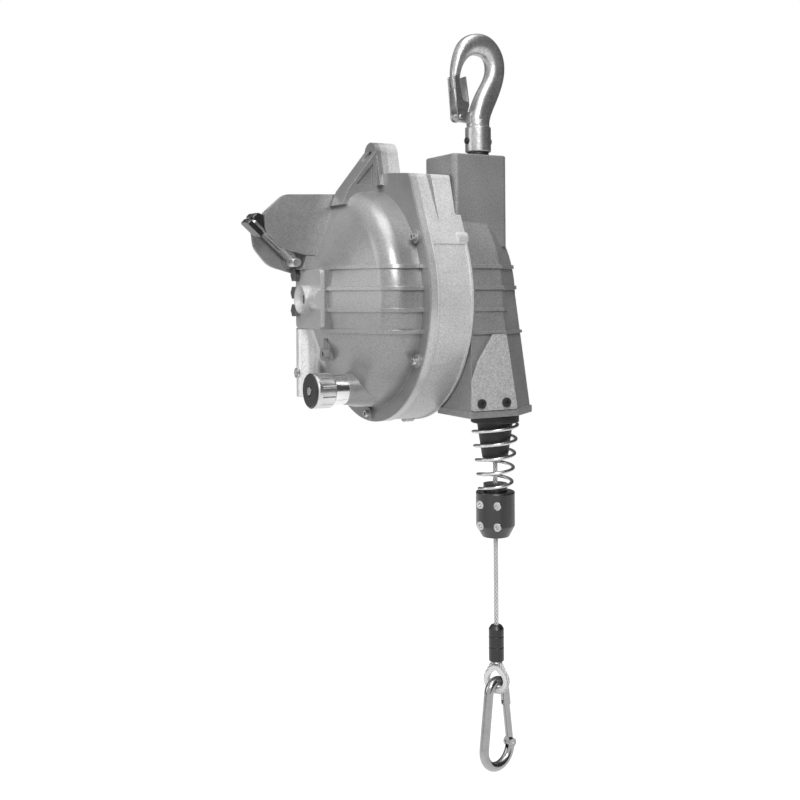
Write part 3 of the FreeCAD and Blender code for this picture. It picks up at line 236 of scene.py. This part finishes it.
def edge_mask(tree, radius):
    """Near 1 on edges and corners and 0 on open faces, and the normal rounded over that radius."""
    bevel = tree.nodes.new("ShaderNodeBevel")
    bevel.samples = EDGE_SAMPLES
    bevel.inputs["Radius"].default_value = radius
    plain = tree.nodes.new("ShaderNodeNewGeometry")
    flat = cosine(tree, bevel.outputs["Normal"], plain.outputs["Normal"])
    return spread(tree, flat, EDGE_OPEN, EDGE_SHARP, 0.0, 1.0), bevel.outputs["Normal"]


def bump(tree, height, strength, distance, normal):
    node = tree.nodes.new("ShaderNodeBump")
    node.inputs["Strength"].default_value = strength
    node.inputs["Distance"].default_value = distance
    tree.links.new(height, node.inputs["Height"])
    tree.links.new(normal, node.inputs["Normal"])
    return node.outputs["Normal"]


def surface(name, base, metallic, rough, grain, depth, speckle, blotch, edge, coat=0.0):
    """Paint, plastic or cast metal: fine speckle, slow blotches and edges lightened as wear and painted
    highlight, over a grained bump.
    """
    mat, tree, shader, where = new_material(name)
    fine = noise(tree, where, grain, FINE_DETAIL)
    slow = noise(tree, where, SLOW_SCALE, SLOW_DETAIL)
    mask, rounded = edge_mask(tree, SURFACE_EDGE_R)
    speckles = vary(tree, fine, 1.0 - speckle, 1.0 + speckle)
    tone = arithmetic(tree, "ADD", speckles, vary(tree, slow, -blotch, blotch))
    # Edges lightened: partly wear, partly painted highlight
    tone = arithmetic(tree, "ADD", tone, arithmetic(tree, "MULTIPLY", mask, edge))
    tree.links.new(scaled(tree, base, tone), shader.inputs["Base Color"])
    roughness = vary(tree, slow, rough - ROUGH_SWING, rough + ROUGH_SWING)
    tree.links.new(roughness, shader.inputs["Roughness"])
    shader.inputs["Metallic"].default_value = metallic
    shader.inputs["Coat Weight"].default_value = coat
    shader.inputs["Coat Roughness"].default_value = COAT_ROUGHNESS
    tree.links.new(bump(tree, fine, depth, GRAIN_HEIGHT, rounded), shader.inputs["Normal"])
    return mat


def brushed(name, base, rough, stretch=PLATED_STRETCH, depth=0.12, metallic=1.0):
    """Plated, drawn or turned metal, with fine marks squeezed along one direction by the stretch."""
    mat, tree, shader, where = new_material(name)
    mapping = tree.nodes.new("ShaderNodeMapping")
    mapping.inputs["Scale"].default_value = stretch
    tree.links.new(where, mapping.inputs["Vector"])
    marks = noise(tree, mapping.outputs["Vector"], MARK_SCALE, MARK_DETAIL)
    stain = noise(tree, where, STAIN_SCALE, MARK_DETAIL)
    mask, rounded = edge_mask(tree, BRUSHED_EDGE_R)
    stains = vary(tree, stain, STAIN_DARK, STAIN_BRIGHT)
    # Edges lightened: partly wear, partly painted highlight
    tone = arithmetic(tree, "ADD", stains, arithmetic(tree, "MULTIPLY", mask, BRUSHED_EDGE))
    tree.links.new(scaled(tree, base, tone), shader.inputs["Base Color"])
    roughness = vary(tree, marks, rough - MARK_SMOOTHER, rough + MARK_ROUGHER)
    tree.links.new(roughness, shader.inputs["Roughness"])
    shader.inputs["Metallic"].default_value = metallic
    tree.links.new(bump(tree, marks, depth, MARK_HEIGHT, rounded), shader.inputs["Normal"])
    return mat


def lift_color(tree, mask, amount):
    """Base colour multiplied by the amount where the mask is 1."""
    color = tree.nodes["Principled BSDF"].inputs["Base Color"]
    source = color.links[0].from_socket
    tree.links.new(scaled(tree, source, spread(tree, mask, 0.0, 1.0, 1.0, amount)), color)


def paint_cover_highlights(mat):
    """Painted highlights: the worm column, low at the far end of the cover, and the flange's edge lit
    brighter than the dome.
    """
    tree = mat.node_tree
    inwards = nodes["cover"].matrix_world.inverted()
    corner = inwards @ Vector(COLUMN_CORNER)
    flange = inwards @ Vector((FLANGE_X, 0.0, 0.0))
    where = tree.nodes.new("ShaderNodeTexCoord")
    split = tree.nodes.new("ShaderNodeSeparateXYZ")
    tree.links.new(where.outputs["Object"], split.inputs[0])
    x, y, z = (split.outputs[axis] for axis in "XYZ")
    outside = past(tree, x, corner.x, -COLUMN_SOFT)
    behind = past(tree, y, corner.y, COLUMN_SOFT)
    below = past(tree, z, corner.z, -COLUMN_TOP_SOFT)
    column = arithmetic(tree, "MULTIPLY", arithmetic(tree, "MULTIPLY", outside, behind), below)
    # Painted highlight on the worm column, then on the flange's edge
    lift_color(tree, column, COLUMN_HIGHLIGHT_LIFT)
    lift_color(tree, past(tree, x, flange.x, FLANGE_SOFT), FLANGE_HIGHLIGHT_LIFT)


def paint_valley_shade(mat):
    """Painted shade: dark lines between the strands of the rope, from each point's height over the core.
    """
    tree = mat.node_tree
    crown = tree.nodes.new("ShaderNodeAttribute")
    crown.attribute_name = "crown"
    valley = spread(tree, crown.outputs["Fac"], VALLEY_START, VALLEY_FULL, 0.0, 1.0)
    # Painted shade darkens the colour in the valleys between the strands
    lift_color(tree, valley, VALLEY_SHADE_TONE)


def make_materials():
    return {
        "dome": surface("paint_dome", grey(0.33), metallic=0.40, rough=0.34, grain=700, depth=0.12,
                        speckle=0.20, blotch=0.08, edge=0.25, coat=0.10),
        "ring": surface("paint_ring", grey(0.64), metallic=0.25, rough=0.44, grain=650, depth=0.22,
                        speckle=0.22, blotch=0.10, edge=0.30),
        "drum_case": surface("paint_drum_case", grey(0.285), metallic=0.25, rough=0.44, grain=650,
                             depth=0.25, speckle=0.26, blotch=0.08, edge=0.30),
        "hub": surface("paint_hub", grey(0.58), metallic=0.35, rough=0.38, grain=800, depth=0.12,
                       speckle=0.12, blotch=0.06, edge=0.25),
        "galvanised": surface("galvanised", grey(0.48), metallic=0.85, rough=0.34, grain=420, depth=0.30,
                              speckle=0.26, blotch=0.14, edge=0.25),
        "plate": surface("guide_plate", grey(0.50), metallic=0.15, rough=0.55, grain=650, depth=0.20,
                         speckle=0.30, blotch=0.06, edge=0.20),
        "black": surface("black_plastic", grey(0.014), metallic=0.0, rough=0.32, grain=1800, depth=0.08,
                         speckle=0.25, blotch=0.10, edge=1.2, coat=0.2),
        "nozzle_black": surface("nozzle_black", grey(0.010), metallic=0.0, rough=0.50, grain=1800,
                                depth=0.10, speckle=0.25, blotch=0.10, edge=0.8),
        "stopper_black": surface("stopper_black", grey(0.018), metallic=0.0, rough=0.26, grain=900,
                                 depth=0.08, speckle=0.30, blotch=0.15, edge=1.2, coat=0.5),
        "thimble": surface("thimble", grey(0.84), metallic=0.1, rough=0.35, grain=600, depth=0.06,
                           speckle=0.05, blotch=0.04, edge=0.05),
        "rope": surface("rope_wire", grey(0.82), metallic=0.45, rough=0.34, grain=1500, depth=0.10,
                        speckle=0.14, blotch=0.08, edge=0.0),
        "strand": surface("rope_strands", grey(0.86), metallic=0.35, rough=0.36, grain=1500, depth=0.10,
                          speckle=0.12, blotch=0.06, edge=0.0),
        "zinc": brushed("zinc_plate", grey(0.62), rough=0.30),
        "bolt": brushed("bolt_steel", grey(0.24), rough=0.34),
        "dark_steel_and_shade": brushed("dark_steel_and_shade", grey(0.05), rough=0.42, metallic=0.6),
        "bronze": brushed("bronze", (0.55, 0.40, 0.22), rough=0.35),
        "bright": brushed("bright_steel", grey(0.74), rough=0.20, stretch=DRAWN_STRETCH, depth=0.05),
        "carabiner": brushed("carabiner_steel", grey(0.36), rough=0.18, stretch=DRAWN_STRETCH, depth=0.05),
        "aluminium": brushed("bare_aluminium", grey(0.66), rough=0.38, stretch=TURNED_STRETCH),
        "spring": brushed("spring_wire", grey(0.60), rough=0.26, stretch=NO_STRETCH, depth=0.08),
    }


NODE_MATERIAL = {
    "dome": ["cover"],
    "ring": ["housing_ring"],
    "drum_case": ["drum_housing"],
    "hub": ["worm_cover"],
    "galvanised": ["load_hook", "hook_stem"],
    "bolt": ["worm_cover_bolts"],
    "zinc": ["cover_screws", "column_plug", "drum_axle", "thrust_bearing", "hook_nut", "latch_pin",
             "lock_pin", "lever_pin", "release_lever", "lock_knob", "worm_shaft", "spring_arbor",
             "drum_bearing_left", "drum_bearing_right", "drum_screws", "hook_latch", "gate_pin",
             "stopper_screws"],
    "bright": ["lock_sleeve"],
    "carabiner": ["carabiner", "carabiner_gate"],
    # The stem washer's near-black steel is painted shade in the gap under the hook's shank; the screws and
    # cross pin are dark steel
    "dark_steel_and_shade": ["guide_plate_screws", "hook_cross_pin", "stem_washer"],
    "black": ["stopper_bush", "ferrule", "knob_cap", "lever_grip_upper", "lever_grip_lower"],
    "nozzle_black": ["nozzle_collar", "rope_nozzle"],
    "stopper_black": ["stopper_front", "stopper_rear"],
    "plate": ["guide_plate"],
    "bronze": ["worm_wheel", "worm_bush"],
    "aluminium": ["rope_drum", "spring_case"],
    "spring": ["buffer_spring", "power_spring_left", "power_spring_right", "latch_spring"],
    "thimble": ["thimble"],
    "rope": ["rope", "rope_eye", "rope_winding"],
}


def dress_nodes(materials):
    for key, names in NODE_MATERIAL.items():
        for name in names:
            for holder in nodes[name].material_slots:
                holder.link = "OBJECT"
                holder.material = materials[key]


def spline_points(route, name):
    """Points along the smooth line whose control points are the route."""
    curve = bpy.data.curves.new(name, "CURVE")
    curve.dimensions = "3D"
    curve.resolution_u = ROUTE_RESOLUTION
    spline = curve.splines.new("NURBS")
    spline.points.add(len(route) - 1)
    for point, place in zip(spline.points, route):
        point.co = (*place, 1.0)
    spline.order_u = 3
    spline.use_endpoint_u = True
    holder = bpy.data.objects.new(name, curve)
    bpy.context.scene.collection.objects.link(holder)
    mesh = bpy.data.meshes.new_from_object(holder)
    points = [v.co.copy() for v in mesh.vertices]
    bpy.data.objects.remove(holder)
    bpy.data.meshes.remove(mesh)
    return points


def running_lengths(points):
    """Distance along the line at each of its points."""
    lengths = [0.0]
    for a, b in zip(points, points[1:]):
        lengths.append(lengths[-1] + (b - a).length)
    return lengths


def resample(points, step):
    """The same line with evenly spaced points, and its length."""
    lengths = running_lengths(points)
    total = lengths[-1]
    count = max(2, round(total / step))
    result = []
    i = 0
    for k in range(count + 1):
        target = total * k / count
        while i < len(points) - 2 and lengths[i + 1] < target:
            i += 1
        span = lengths[i + 1] - lengths[i]
        share = 0.0 if span == 0 else (target - lengths[i]) / span
        result.append(points[i].lerp(points[i + 1], min(max(share, 0.0), 1.0)))
    return result, total


def frames_along(points):
    """Two directions across the line at each point, carried along without twist."""
    normal = None
    frames = []
    for i, point in enumerate(points):
        ahead = points[min(i + 1, len(points) - 1)] - points[max(i - 1, 0)]
        ahead.normalize()
        if normal is None:
            normal = ahead.orthogonal().normalized()
        normal = (normal - ahead * normal.dot(ahead)).normalized()
        frames.append((normal.copy(), ahead.cross(normal)))
    return frames


def beside(point, across, angle, radius):
    """The place at an angle and a radius round a point of the line."""
    u, v = across
    return point + (u * math.cos(angle) + v * math.sin(angle)) * radius


def add_tube(verts, faces, line, frames, radius):
    """Closed tube along the line, added to a mesh's corners and faces."""
    start = len(verts)
    for point, across in zip(line, frames):
        for k in range(TUBE_SIDES):
            verts.append(beside(point, across, 2 * math.pi * k / TUBE_SIDES, radius))
    for i in range(len(line) - 1):
        for k in range(TUBE_SIDES):
            a = start + i * TUBE_SIDES + k
            b = start + i * TUBE_SIDES + (k + 1) % TUBE_SIDES
            faces.append((a, b, b + TUBE_SIDES, a + TUBE_SIDES))
    faces.append([start + k for k in reversed(range(TUBE_SIDES))])
    faces.append([start + (len(line) - 1) * TUBE_SIDES + k for k in range(TUBE_SIDES)])


def strand_mesh(name, points, diameter):
    """Rope of strands round a core, as one mesh of closed tubes. A strand is a third of its width."""
    frames = frames_along(points)
    travelled = running_lengths(points)
    strand_r = diameter / 6
    helix_r = diameter / 3
    verts = []
    faces = []
    add_tube(verts, faces, points, frames, helix_r - strand_r * CORE_INSIDE)
    for s in range(STRANDS):
        line = []
        for point, across, run in zip(points, frames, travelled):
            line.append(beside(point, across, 2 * math.pi * (s / STRANDS + run / LAY), helix_r))
        add_tube(verts, faces, line, frames, strand_r)
    mesh = bpy.data.meshes.new(name)
    mesh.from_pydata(verts, [], faces)
    mesh.polygons.foreach_set("use_smooth", [len(p.vertices) == 4 for p in mesh.polygons])
    inner = helix_r - strand_r * VALLEY_INSIDE
    heights = []
    for i, vert in enumerate(verts):
        centre = points[i // TUBE_SIDES % len(points)]
        height = ((vert - centre).length - inner) / (diameter / 2 - inner)
        heights.append(min(max(height, 0.0), 1.0))
    mesh.attributes.new("crown", "FLOAT", "POINT").data.foreach_set("value", heights)
    obj = bpy.data.objects.new(name, mesh)
    bpy.context.scene.collection.objects.link(obj)
    return obj


def make_rope(material):
    """The free stretch of rope, from the drum's tangent down into the ferrule."""
    route = [Vector((ROPE.x, ROPE.y, z)) for z in ROPE_HEIGHTS]
    points, length = resample(spline_points(route, "rope_route"), ROPE_STEP)
    rope = strand_mesh("wire_rope", points, ROPE_D)
    rope.data.materials.append(material)
    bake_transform(rope)
    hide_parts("rope")


def eye_points():
    """Teardrop line of the rope eye: down from the ferrule, round the thimble and back up."""
    drop = EYE_TOP_Z - EYE_CENTRE_Z
    lift = math.atan2(drop, EYE_HALF) - math.acos(EYE_R / math.hypot(drop, EYE_HALF))
    flat = [(-EYE_HALF, EYE_TOP_Z)]
    for i in range(EYE_ARC_STEPS + 1):
        angle = math.pi - lift + (math.pi + 2 * lift) * i / EYE_ARC_STEPS
        flat.append((EYE_R * math.cos(angle), EYE_CENTRE_Z + EYE_R * math.sin(angle)))
    flat.append((EYE_HALF, EYE_TOP_Z))
    line = [Vector((ROPE.x + x * math.cos(EYE_YAW), ROPE.y + x * math.sin(EYE_YAW), z)) for x, z in flat]
    return resample(line, EYE_STEP)[0]


def make_rope_eye(material):
    eye = strand_mesh("wire_rope_eye", eye_points(), ROPE_D)
    eye.data.materials.append(material)
    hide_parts("rope_eye")
    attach(eye, "load")


def area_light(name, azimuth, elevation, distance, size, power):
    """Lamp that faces the drum axis from the given angles, in degrees."""
    data = bpy.data.lights.new(name, "AREA")
    data.shape = "RECTANGLE"
    data.size, data.size_y = size
    data.energy = power
    obj = bpy.data.objects.new(name, data)
    a = math.radians(azimuth)
    e = math.radians(elevation)
    back = Vector((math.sin(a) * math.cos(e), -math.cos(a) * math.cos(e), math.sin(e)))
    obj.location = DRUM + back * distance
    obj.rotation_mode = "QUATERNION"
    obj.rotation_quaternion = (DRUM - obj.location).to_track_quat("-Z", "Y")
    bpy.context.scene.collection.objects.link(obj)


def make_camera():
    """Camera that looks level, with the drum axis left of its centre and the frame shifted down."""
    roll = math.radians(0.4)
    distance = 1.244
    focal_px = 1133.0
    picture_px = 800.0
    drum_px = Vector((376.8, 298.5))
    centre_px = Vector((400.0, 290.0))
    up = Vector((0.0, 0.0, 1.0))
    across = VIEW_RIGHT * math.cos(roll) - up * math.sin(roll)
    above = up * math.cos(roll) + VIEW_RIGHT * math.sin(roll)
    offset = (centre_px - drum_px) * (distance / focal_px)
    data = bpy.data.cameras.new("camera")
    data.sensor_width = 36.0
    data.lens = focal_px / picture_px * data.sensor_width
    data.shift_y = -(picture_px / 2 - centre_px.y) / picture_px
    camera = bpy.data.objects.new("camera", data)
    place = DRUM - VIEW_AHEAD * distance + across * offset.x - above * offset.y
    turn = Matrix((across, above, -VIEW_AHEAD)).transposed().to_4x4()
    camera.matrix_world = Matrix.Translation(place) @ turn
    bpy.context.scene.collection.objects.link(camera)
    bpy.context.scene.camera = camera


def ray_masks(tree):
    """1 for rays that look at the stage or mirror it, and 1 for the camera's own rays alone."""
    path = tree.nodes.new("ShaderNodeLightPath")
    camera_ray = path.outputs["Is Camera Ray"]
    shiny = arithmetic(tree, "MAXIMUM", path.outputs["Is Glossy Ray"], path.outputs["Is Transmission Ray"])
    return arithmetic(tree, "MAXIMUM", camera_ray, shiny), camera_ray


def white_when_seen(tree, shader, strength):
    """Adds light of the given strength that only seen and mirrored rays meet, so the floor stays white."""
    seen, _ = ray_masks(tree)
    glow = tree.nodes.new("ShaderNodeEmission")
    tree.links.new(spread(tree, seen, 0.0, 1.0, 0.0, strength), glow.inputs["Strength"])
    add = tree.nodes.new("ShaderNodeAddShader")
    tree.links.new(shader.outputs[0], add.inputs[0])
    tree.links.new(glow.outputs[0], add.inputs[1])
    tree.links.new(add.outputs[0], tree.nodes["Material Output"].inputs["Surface"])


def make_world():
    """White surroundings, where mirrored rays also meet a dark right side, left strip and rear."""
    world = bpy.data.worlds.new("studio")
    world.use_nodes = True
    tree = world.node_tree
    sky = tree.nodes["Background"]
    sky.inputs["Color"].default_value = (1.0, 1.0, 1.0, 1.0)
    where = tree.nodes.new("ShaderNodeTexCoord").outputs["Generated"]
    side = cosine(tree, where, VIEW_RIGHT)
    right = spread(tree, side, RIGHT_START, RIGHT_FULL, 0.0, 1.0)
    left = spread(tree, side, LEFT_START, LEFT_FULL, 0.0, STRIP_DEPTH)
    rear = spread(tree, cosine(tree, where, VIEW_AHEAD), REAR_START, REAR_FULL, 0.0, STRIP_DEPTH)
    dark = arithmetic(tree, "MAXIMUM", arithmetic(tree, "MAXIMUM", right, left), rear)
    dimmed = spread(tree, dark, 0.0, 1.0, 1.0, DARK_SIDE)
    seen, camera_ray = ray_masks(tree)
    mirrored = arithmetic(tree, "MULTIPLY", dimmed, arithmetic(tree, "SUBTRACT", 1.0, camera_ray))
    bright = arithmetic(tree, "ADD", mirrored, camera_ray)
    soft = spread(tree, seen, 0.0, 1.0, SKY_LIGHT, 0.0)
    strength = arithmetic(tree, "ADD", soft, arithmetic(tree, "MULTIPLY", bright, seen))
    tree.links.new(strength, sky.inputs["Strength"])
    bpy.context.scene.world = world


def make_stage():
    bpy.ops.mesh.primitive_plane_add(size=FLOOR_SIZE, location=(0.0, 0.0, cad_low[2] - FLOOR_DROP))
    floor = bpy.context.object
    floor.name = "floor"
    mat, tree, shader, _ = new_material("pale_floor")
    shader.inputs["Base Color"].default_value = (*grey(FLOOR_TONE), 1.0)
    shader.inputs["Roughness"].default_value = FLOOR_ROUGHNESS
    shader.inputs["Specular IOR Level"].default_value = FLOOR_SPECULAR
    white_when_seen(tree, shader, FLOOR_GLOW)
    floor.data.materials.append(mat)
    make_world()
    area_light("key", azimuth=-22.0, elevation=34.0, distance=2.2, size=(0.7, 1.1), power=28.0)
    area_light("left_fill", azimuth=-105.0, elevation=12.0, distance=2.4, size=(1.0, 1.6), power=12.0)
    area_light("top", azimuth=-30.0, elevation=78.0, distance=2.0, size=(1.2, 1.2), power=16.0)
    bpy.context.scene.view_settings.view_transform = "Standard"


def main():
    materials = make_materials()
    paint_cover_highlights(materials["dome"])
    paint_valley_shade(materials["strand"])
    dress_nodes(materials)
    make_rope(materials["strand"])
    make_rope_eye(materials["strand"])
    make_camera()
    make_stage()


main()
